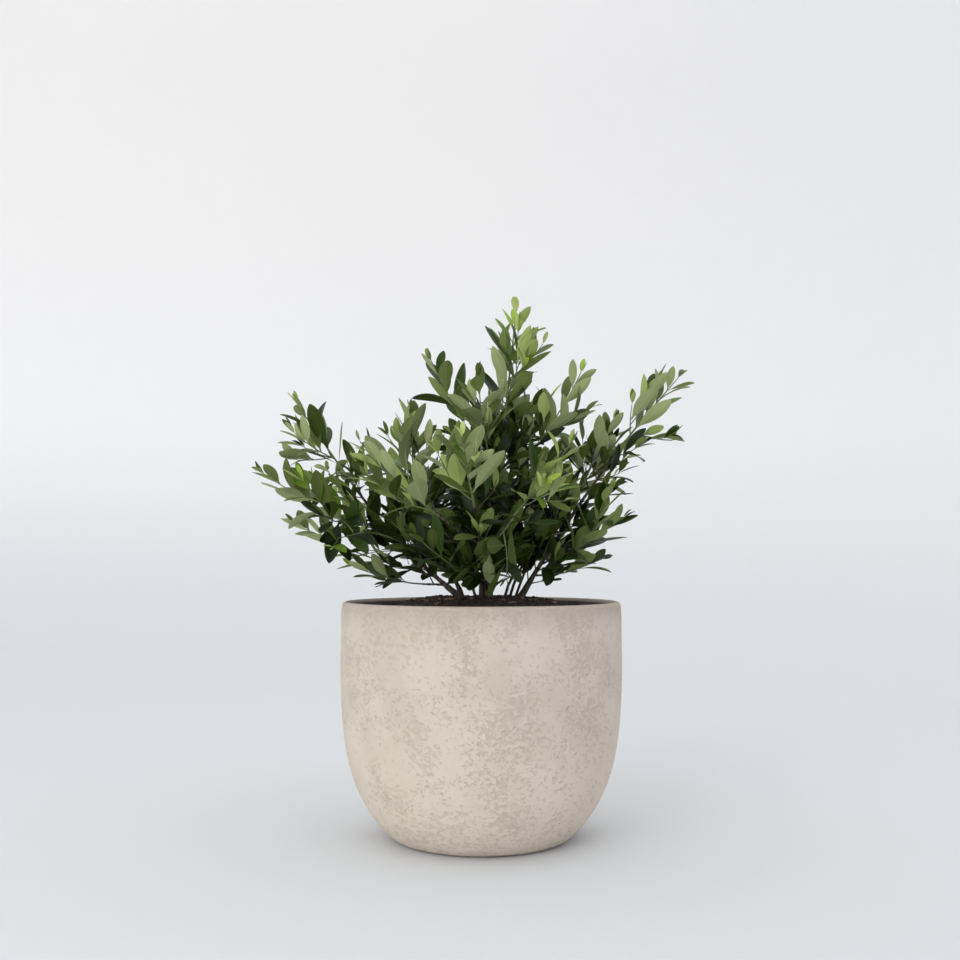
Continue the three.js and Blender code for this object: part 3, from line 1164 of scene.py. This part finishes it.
@dataclass
class Underwood:
    """The short shoots and single leaves that spring from the limbs themselves, inside the crown.

    Args:
        limbs: the stems and boughs.
        solids: the masses of foliage.
        rng: the crown's one source of chance.
        suckers: how many thin rods stand beside each stem.
        gap: the distance between two pairs of shoots on a limb.
        first: the height of the lowest pair on a stem.
        reach: how far leaves may stand out of the masses.
        thinning: how far from the middle the shoots have become few.
        clear: the height under which nothing grows, over the rim.
        column: how wide the tuft at the foot is.
        column_top: how high it is.
        long: the least and greatest length of a shoot.
        single: the least and greatest length of a single leaf, in mm.
        single_spread: its least and greatest angle to the limb, in degrees.
    """

    limbs: list[Limb]
    solids: list[Solid]
    rng: random.Random
    suckers: int = 3
    gap: float = 15 * MM
    first: float = 22 * MM
    reach: float = 20 * MM
    thinning: float = 170 * MM
    clear: float = 264 * MM
    column: float = 75 * MM
    column_top: float = 330 * MM
    long: Span = (20 * MM, 46 * MM)
    single: Span = (30, 46)
    single_spread: Span = (35, 60)

    def depth(self, point: np.ndarray) -> float:
        """Returns how deep a point lies in the crown, and keeps it clear of the pot's rim."""
        if point[2] < self.clear:
            return -1.0
        column = self.column - math.hypot(point[0], point[1]) if point[2] < self.column_top else -1.0
        return max(max(solid.depth(point) for solid in self.solids) + self.reach, column)

    def grow(self) -> dict[Region, Growth]:
        """Grows along every limb and gives the growth of each region."""
        made = {region: Growth(self.rng, HEART, self.depth) for region in Region}
        for stem in (limb for limb in self.limbs if limb.stem):
            for _ in range(self.suckers):
                self.sucker(made[Region.of(stem.node)], stem)
        for limb in self.limbs:
            growth = made[Region.of(limb.node)]
            start = self.first if limb.stem else self.gap
            steps = int((limb.line.length - start) / self.gap)
            roll = self.rng.uniform(0, math.pi)
            for step in range(steps + 1):
                share = (start + step * self.gap) / limb.line.length
                for side in (0, math.pi):
                    self.sprout(growth, limb, min(share, 1), roll + side + self.rng.uniform(-0.4, 0.4))
                roll += math.pi / 2
        return made

    def sucker(self, growth: Growth, stem: Limb) -> None:
        """Grows a thin woody rod from beside a stem's foot up into the heart of the crown."""
        around = self.rng.uniform(0, 2 * math.pi)
        out = self.rng.uniform(7, 15) * MM
        foot = stem.line.at(0) + np.array((math.cos(around) * out, math.sin(around) * out, -2 * MM))
        foot *= (0.8, 0.8, 1)
        top = stem.line.at(self.rng.uniform(0.4, 0.75)) * (0.9, 0.9, 1)
        top += np.array([self.rng.gauss(0, 16) for _ in range(3)]) * MM
        line = Line.curve(foot, np.array((foot[0] * 4, foot[1] * 4, 0.5)), top, top - foot)
        growth.dress(Shoot(line, 1.7 * MM, 0.8 * MM, woody=True), 0.9, bare=0.2)

    def sprout(self, growth: Growth, limb: Limb, share: float, turn: float) -> None:
        """Grows one short shoot or a single leaf from a limb.

        Args:
            growth: what it is added to.
            limb: the limb.
            share: where on it.
            turn: on which side, in radians.
        """
        ahead, out = limb.line.ahead(share), limb.line.aside(share, turn)
        heading = unit(ahead * 0.8 + out)
        start = limb.line.at(share) + out * limb.radius(share) * 0.5
        length = self.rng.uniform(*self.long)
        end = start + heading * length
        inner = 1 - min(math.hypot(start[0], start[1]) / self.thinning, 1)
        low = start[2] < self.column_top and inner < 0.5
        inner *= 0.2 if low else 1
        if self.rng.random() < 0.2 + 0.7 * inner and self.depth(end) > 0:
            line = Line.curve(start, heading, end, heading + ahead * 0.4)
            growth.dress(Shoot(line, 0.8 * MM, 0.4 * MM, woody=True), 0.85)
        elif self.rng.random() < 0.35 + 0.5 * inner:
            near = ahead * 3 * MM
            stub = Shoot(Line(np.array([start - near, start, start + near])), 0.5 * MM, 0.5 * MM)
            spread = math.radians(self.rng.uniform(*self.single_spread))
            growth.leaf(stub, 0.5, turn, spread, self.rng.uniform(*self.single) * MM, growth.deal())


@dataclass
class Crown:
    """All the sprays, joined by region into pieces of leaves and pieces of twigs."""

    limbs: list[Limb]

    def __post_init__(self) -> None:
        """Lists the masses of the frame."""
        self.rng = random.Random(SEED)
        self.nodes = sorted(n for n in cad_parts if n.startswith("leaves_"))

    def build(self) -> None:
        """Grows the sprays and makes the pieces."""
        maker = LeafMaker()
        tube = TubeMaker(sides=6, rings=7)
        skins = [m for tone in Tone for m in LEAF_FINISHES[tone].build(tone)]
        wood = [GREEN_TWIG.build(), WOODY_TWIG.build()]
        order = list(Tone)
        sprays = [Spray(node, self.limbs, self.rng) for node in self.nodes]
        for spray in sprays:
            spray.grow()
        inner = Underwood(self.limbs, [spray.solid for spray in sprays], self.rng).grow()
        for region in Region:
            own = [spray for spray in sprays if Region.of(spray.node) is region]
            nodes = [spray.node for spray in own]
            leaves, twigs = Heap(), Heap()
            for growth in [spray.growth for spray in own] + [inner[region]]:
                log.info("%s: %d shoots, %d leaves", region.value, len(growth.shoots), len(growth.leaves))
                for shoot in growth.shoots:
                    twigs.add(tube.pattern, tube.along(shoot.line, shoot.radius), int(shoot.woody))
                for leaf in growth.leaves:
                    leaves.add(maker.pattern, maker.points(leaf), 3 * order.index(leaf.tone))
            finished(leaves.build(f"leaves.{region.value}", skins, 70), "leaves", *nodes)
            finished(twigs.build(f"twigs.{region.value}", wood, 60), "bark", *nodes)


# ------------------------------------------------------------------ pot and soil


@dataclass
class Lathe:
    """Turned shapes: an outline is drawn point by point and spun about the upright axis."""

    steps: int

    def turn(self, name: str, outline: list[Span]) -> bpy.types.Object:
        """Turns one shape.

        Args:
            name: the object's name.
            outline: radius and height of its points, from the axis to the axis.

        Returns:
            The new object, in object mode.
        """
        nothing_selected()
        bpy.ops.mesh.primitive_plane_add(size=1)
        begin_edit()
        bpy.ops.mesh.merge(type="CENTER")
        (radius, height), *rest = outline
        bpy.ops.transform.translate(value=(radius, 0, height))
        for next_radius, next_height in rest:
            step = (next_radius - radius, 0, next_height - height)
            bpy.ops.mesh.extrude_region_move(TRANSFORM_OT_translate={"value": step})
            radius, height = next_radius, next_height
        bpy.ops.mesh.select_all(action="SELECT")
        bpy.ops.mesh.spin(steps=self.steps, angle=2 * math.pi, center=(0, 0, 0), axis=(0, 0, 1))
        bpy.ops.mesh.select_all(action="SELECT")
        bpy.ops.mesh.remove_doubles(threshold=0.01 * MM)
        bpy.ops.mesh.normals_make_consistent(inside=False)
        bpy.ops.object.mode_set(mode="OBJECT")
        obj = bpy.context.object
        obj.name = name
        return obj


@dataclass
class Pot:
    """The round cement pot: a narrow foot, full cheeks and a thin rim."""

    wall: float = 8.5 * MM
    floor: float = 14 * MM
    belly_height: float = 232 * MM
    belly_bend: float = 4.16
    belly_tuck: float = 1.114
    foot_share: float = 0.615
    foot_inset: float = 5 * MM
    foot_round: float = 5 * MM
    recess: float = 2 * MM
    lip_round: float = 4.2 * MM
    lip_draw: float = 1.5 * MM
    inner_blend: float = 16 * MM
    inner_blend_height: float = 60 * MM
    wave: float = 0.45 * MM
    pit: float = 0.45 * MM
    wear_from: float = 0.24
    wear_over: float = 0.16
    steps: int = 420
    rows: int = 128
    lip_rows: int = 16
    inner_rows: int = 41

    def __post_init__(self) -> None:
        """Takes the pot's width and height from the frame."""
        low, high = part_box("pot")
        self.radius = (high.x - low.x) / 2
        self.height = high.z

    def outside(self, height: float) -> float:
        """Returns the outer radius at a height."""
        foot = self.radius * self.foot_share
        rest = max(1 - height / self.belly_height, 0)
        wide = foot + (self.radius - foot) * (1 - rest ** self.belly_bend) ** (1 / self.belly_tuck)
        drawn = max(height - self.belly_height, 0) / (self.height - self.belly_height)
        return wide - self.lip_draw * drawn ** 2

    def inside(self, height: float) -> float:
        """Returns the inner radius at a height."""
        blend = max(1 - (height - self.floor) / self.inner_blend_height, 0) ** 2 * self.inner_blend
        return self.outside(height) - self.wall - blend

    def outline(self) -> list[Span]:
        """Draws the section from the middle of the underside to the middle of the floor inside."""
        foot = self.outside(0) - self.foot_round
        ring = foot - self.foot_inset
        points = [(0.0, self.recess), (ring - 1 * MM, self.recess), (ring, 0.0), (foot, 0.0)]
        belly = self.height - self.lip_round
        for row in range(1, self.rows + 1):
            height = belly * (row / self.rows) ** 1.05
            under = max(self.foot_round - height, 0)
            drawn = self.foot_round - math.sqrt(self.foot_round ** 2 - under ** 2)
            points.append((self.outside(height) - drawn, height))
        out, thick = self.outside(belly), self.wall / 2
        for step in range(1, self.lip_rows):
            turn = math.pi * step / self.lip_rows
            points.append((out - thick + thick * math.cos(turn), belly + self.lip_round * math.sin(turn)))
        for row in range(1, self.inner_rows):
            height = belly - (belly - self.floor) * row / self.inner_rows
            points.append((self.inside(height), height))
        points += [(points[-1][0] - 8 * MM, self.floor), (0.0, self.floor)]
        return points

    def worn(self, place: Vector) -> float:
        """Returns how deeply the skin is flaked at a place, 0 to 1."""
        crowd = noise.fractal(place * 22 + Vector((3, 1, 7)), 1.0, 2.0, 3)
        flake = noise.fractal(Vector((place.x, place.y, place.z * 1.2)) * 210, 0.8, 2.0, 3)
        return min(max((0.5 * crowd + 0.7 * flake - self.wear_from) / self.wear_over, 0), 1)

    def build(self) -> None:
        """Turns the pot, flakes its skin and lets it run a little uneven, and lines its inside."""
        obj = Lathe(self.steps).turn("pot.cement", self.outline())
        wear = [0.0] * len(obj.data.vertices)
        for vertex in obj.data.vertices:
            x, y, z = vertex.co
            around = math.hypot(x, y)
            if around > self.inside(z) + self.wall * 0.4 and z > 3 * MM:
                wear[vertex.index] = self.worn(vertex.co)
                push = noise.fractal(vertex.co * 15, 1.0, 2.0, 3) * self.wave - wear[vertex.index] * self.pit
                vertex.co.x, vertex.co.y = x * (1 + push / around), y * (1 + push / around)
        obj.data.attributes.new(WEAR, "FLOAT", "POINT").data.foreach_set("value", wear)
        obj.data.materials.append(CementFinish().build())
        obj.data.materials.append(LiningFinish().build())
        for polygon in obj.data.polygons:
            x, y, z = polygon.center
            within = math.hypot(x, y) < self.outside(z) - self.wall * 0.75 and z > self.floor / 2
            polygon.material_index = int(within and z < self.height - 3 * MM)
        smoothed(obj, 60)
        finished(obj, "cement", "pot")


@dataclass
class Soil:
    """The potting soil: a low lumpy mound, strewn with crumbs and chips of bark."""

    pot: Pot
    steps: int = 180
    wall_rows: int = 12
    rows: int = 60
    lump: float = 2.4 * MM
    crumbs: int = 900
    crumb_size: Span = (0.8, 2.2)
    chips: int = 110
    chip_size: Span = (1.4, 3.8)
    chip_shape: tuple[float, float, float] = (1.3, 0.6, 0.3)

    def __post_init__(self) -> None:
        """Takes the mound's size from the frame."""
        low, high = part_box("soil")
        self.radius = (high.x - low.x) / 2
        self.low, self.high = low.z, high.z
        self.solid = Solid("soil", np.array((0, 0, self.high)))

    def top(self, x: float, y: float) -> float:
        """Returns the height of the soil in the frame at a place."""
        found = self.solid.tree.ray_cast(Vector((x, y, self.high + 0.05)), Vector((0, 0, -1)))
        return found[0].z if found[0] else self.low

    def build(self) -> None:
        """Makes the mound and what lies on it."""
        outline = [(0.0, self.low)]
        brim = self.top(self.radius * 0.96, 0) - 1 * MM
        for row in range(self.wall_rows + 1):
            height = self.low + (brim - self.low) * row / self.wall_rows
            outline.append((self.pot.inside(height) - 0.4 * MM, height))
        edge = outline[-1][0]
        for row in range(self.rows + 1):
            share = 1 - row / self.rows
            outline.append((edge * share, self.top(edge * share * 0.97, 0)))
        obj = Lathe(self.steps).turn("soil.mound", outline)
        for vertex in obj.data.vertices:
            x, y, z = vertex.co
            if z > self.top(edge * 0.9, 0) - 4 * MM and math.hypot(x, y) < edge * 0.98:
                lumps = noise.fractal(Vector((x, y, 0)) * 70, 0.9, 2.1, 4)
                vertex.co.z += self.lump * lumps - 0.6 * MM
        obj.data.materials.append(SoilFinish().build())
        smoothed(obj, 75)
        finished(obj, "soil", "soil")
        self.strew()

    def strew(self) -> None:
        """Scatters crumbs and bark chips as one piece each."""
        rng = random.Random(SEED + 1)
        nothing_selected()
        bpy.ops.mesh.primitive_ico_sphere_add(subdivisions=1, radius=1)
        crumb = Pattern.taken_from(bpy.context.object)
        nothing_selected()
        bpy.ops.mesh.primitive_cube_add(size=2)
        begin_edit()
        bpy.ops.mesh.bevel(offset=0.35, segments=1)
        bpy.ops.object.mode_set(mode="OBJECT")
        chip = Pattern.taken_from(bpy.context.object)
        for name, pattern, number, finish, size, shape in (
                ("soil.crumbs", crumb, self.crumbs, CRUMB, self.crumb_size, (1, 1, 1)),
                ("soil.chips", chip, self.chips, BARK_CHIP, self.chip_size, self.chip_shape)):
            heap = Heap()
            for _ in range(number):
                around, out = rng.uniform(0, 2 * math.pi), math.sqrt(rng.random()) * self.radius * 0.93
                x, y = out * math.cos(around), out * math.sin(around)
                turned_points(pattern.points, rng)  # a turn that is drawn and let go, so the scatter stays
                scale = np.array([rng.uniform(*size) for _ in range(3)]) * MM * shape
                heap.add(pattern, turned_points(pattern.points * scale, rng) + (x, y, self.top(x, y)))
            finished(heap.build(name, [finish.build()], 40), "soil", "soil")


def turned_points(points: np.ndarray, rng: random.Random) -> np.ndarray:
    """Turns points about the origin by a random turn, mostly about the upright."""
    around, tilt = rng.uniform(0, 2 * math.pi), rng.gauss(0, 0.5)
    c, s = math.cos(around), math.sin(around)
    spin = np.array([[c, -s, 0], [s, c, 0], [0, 0, 1]])
    c, s = math.cos(tilt), math.sin(tilt)
    lean = np.array([[1, 0, 0], [0, c, -s], [0, s, c]])
    return points @ lean.T @ spin.T


# ------------------------------------------------------------------ studio


@dataclass
class Studio:
    """A pale round cove, soft light and the camera."""

    floor_radius: float = 1.5
    cove_radius: float = 4.2
    cove_height: float = 4.4
    cove_rows: int = 16
    steps: int = 96
    floor: Paint = (210, 214, 216)
    wall: Paint = (241, 241, 242)
    sky: Paint = (244, 242, 240)
    # painted shade: the backdrop is painted darker towards the right, away from the lamp
    far: Paint = (224, 225, 227)
    air: tuple[float, ...] = (0.96, 0.97, 0.99, 1.0)
    air_light: float = 1.26
    lamp_light: float = 27
    lamp_size: float = 2.0
    lamp_colour: tuple[float, ...] = (1.0, 0.985, 0.97)
    lamp_place: tuple[float, ...] = (-1.5, -2.3, 0.95)
    lamp_aim: tuple[float, ...] = (0, 0, 0.2)
    eye: tuple[float, ...] = (-0.0013, -1.2, 0.2924)
    eye_tilt: float = 94.07
    lens: float = 41.5
    sensor: float = 36

    def build(self) -> None:
        """Makes the cove, the lights and the camera."""
        self.cove()
        self.light()
        self.camera()

    def cove(self) -> None:
        """Turns a floor that rises smoothly into a round wall, open at the top."""
        bend = self.cove_radius - self.floor_radius
        outline = [(0.0, 0.0), (0.4, 0.0), (0.9, 0.0), (self.floor_radius, 0.0)]
        for step in range(1, self.cove_rows + 1):
            turn = math.pi / 2 * step / self.cove_rows
            outline.append((self.floor_radius + bend * math.sin(turn), bend * (1 - math.cos(turn))))
        outline.append((self.cove_radius, self.cove_height))
        obj = Lathe(self.steps).turn("backdrop", outline)
        material = Material("backdrop")
        height = material.height()
        across = material.node("ShaderNodeSeparateXYZ", "X", Vector=material.place())
        low = material.mix(height.step(-0.1, 0.9), paint(*self.floor), paint(*self.wall))
        whole = material.mix(height.step(0.8, 2.2), low, paint(*self.sky))
        # painted shade: darker towards the right, away from the lamp at the left
        shaded = material.mix(across.step(-2.6, 2.6) * 0.6, whole, paint(*self.far))
        material.set(Base_Color=shaded, Roughness=0.9, Specular_IOR_Level=0.2)
        obj.data.materials.append(material.made)
        begin_edit()
        bpy.ops.mesh.select_all(action="SELECT")
        bpy.ops.mesh.flip_normals()
        bpy.ops.object.mode_set(mode="OBJECT")
        smoothed(obj, 60)

    def light(self) -> None:
        """Lights the cove from the sky above it and from a wide soft lamp at the upper left."""
        world = bpy.data.worlds.new("studio")
        bpy.context.scene.world = world
        world.use_nodes = True
        shade = world.node_tree.nodes["Background"]
        shade.inputs["Color"].default_value = self.air
        shade.inputs["Strength"].default_value = self.air_light
        lamp = bpy.data.lights.new("key", "AREA")
        lamp.shape = "DISK"
        lamp.size = self.lamp_size
        lamp.energy = self.lamp_light
        lamp.color = self.lamp_colour
        key = bpy.data.objects.new("key", lamp)
        key.location = self.lamp_place
        key.visible_camera = False
        aim = Vector(self.lamp_aim) - key.location
        key.rotation_euler = aim.to_track_quat("-Z", "Y").to_euler()
        bpy.context.scene.collection.objects.link(key)

    def camera(self) -> None:
        """Sets the camera a little above the rim, looking slightly up."""
        lens = bpy.data.cameras.new("camera")
        lens.lens = self.lens
        lens.sensor_width = self.sensor
        camera = bpy.data.objects.new("camera", lens)
        camera.location = self.eye
        camera.rotation_euler = (math.radians(self.eye_tilt), 0, 0)
        bpy.context.scene.collection.objects.link(camera)
        bpy.context.scene.camera = camera


# ------------------------------------------------------------------ main


def main() -> None:
    """Builds the plant on its frame, the pot and the studio."""
    logging.basicConfig(level=logging.INFO, format="%(message)s")
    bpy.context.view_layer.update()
    bpy.context.scene.view_settings.view_transform = "Standard"
    pot = Pot()
    pot.build()
    Soil(pot).build()
    low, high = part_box("soil")
    foot = np.array(((low.x + high.x) / 2, (low.y + high.y) / 2, high.z))
    wood = Wood(foot)
    wood.build(BarkFinish().build())
    Crown(wood.limbs).build()
    Studio().build()
    bpy.context.view_layer.update()


if __name__ == "__main__":
    main()
